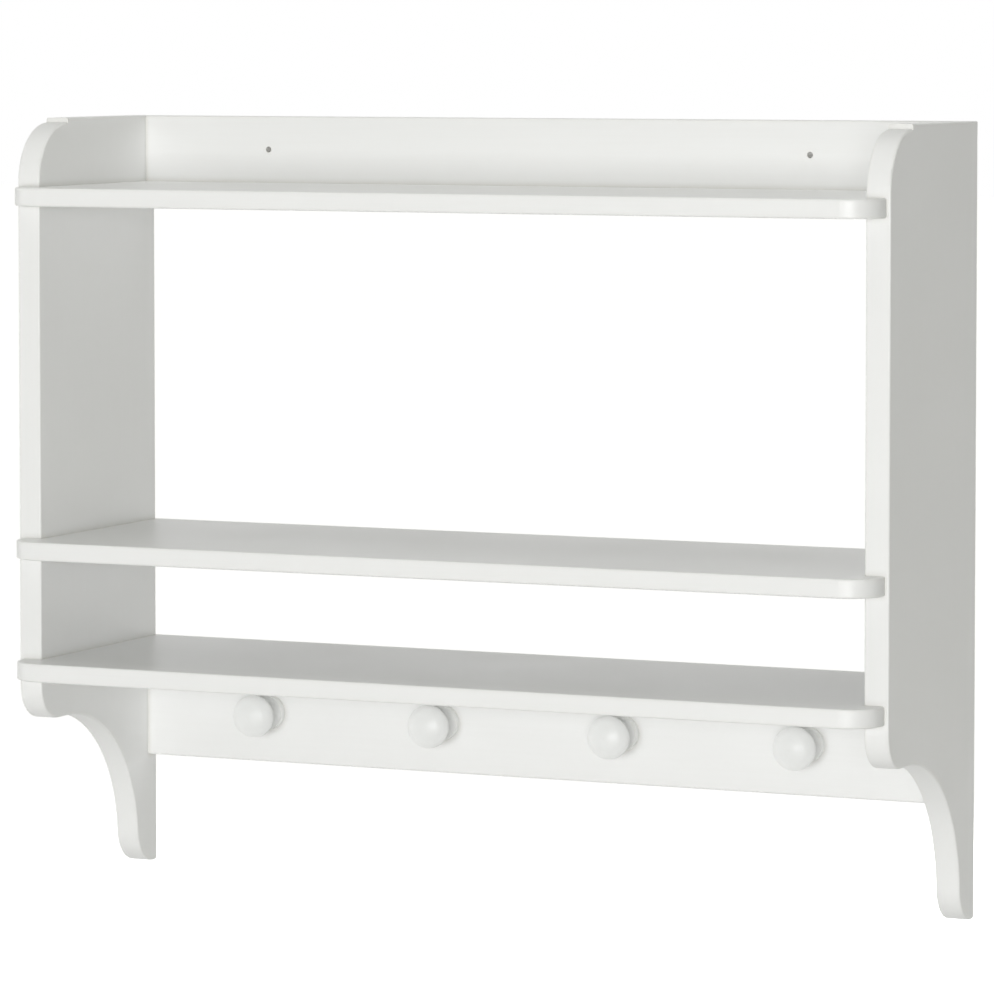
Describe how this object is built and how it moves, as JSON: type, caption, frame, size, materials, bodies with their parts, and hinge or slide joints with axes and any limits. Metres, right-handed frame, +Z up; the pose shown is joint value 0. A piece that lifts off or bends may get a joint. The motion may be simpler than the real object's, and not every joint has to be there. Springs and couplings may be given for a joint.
{
  "type": "peg rail with shelves",
  "caption": "Wall-hung shelf unit: shaped side panels, deep shelves with rounded corners, an upper rail with wall screw holes and a lower rail of turned pegs.",
  "frame": {"origin": "on the wall plane, midway between the two wall screw holes of the upper rail", "axes": "+X to the viewer's right along the width, +Y back into the wall, +Z up"},
  "size_m": [0.9, 0.273, 0.7555],
  "materials": {
    "white_lacquer": "satin white lacquer on wood",
    "beech": "bare beech",
    "brass": "turned",
    "zinc_steel": "bright zinc plate"
  },
  "bodies": {
    "root": {"side_panel_left": "white_lacquer", "side_panel_right": "white_lacquer", "shelf_top": "white_lacquer", "shelf_middle": "white_lacquer", "shelf_bottom": "white_lacquer", "upper_rail": "white_lacquer", "peg_rail": "white_lacquer", "peg_1": "white_lacquer", "peg_2": "white_lacquer", "peg_3": "white_lacquer", "peg_4": "white_lacquer", "shelf_dowels": "beech", "rail_dowels": "beech", "peg_inserts": "brass", "peg_screws": "zinc_steel"}
  },
  "joints": []
}
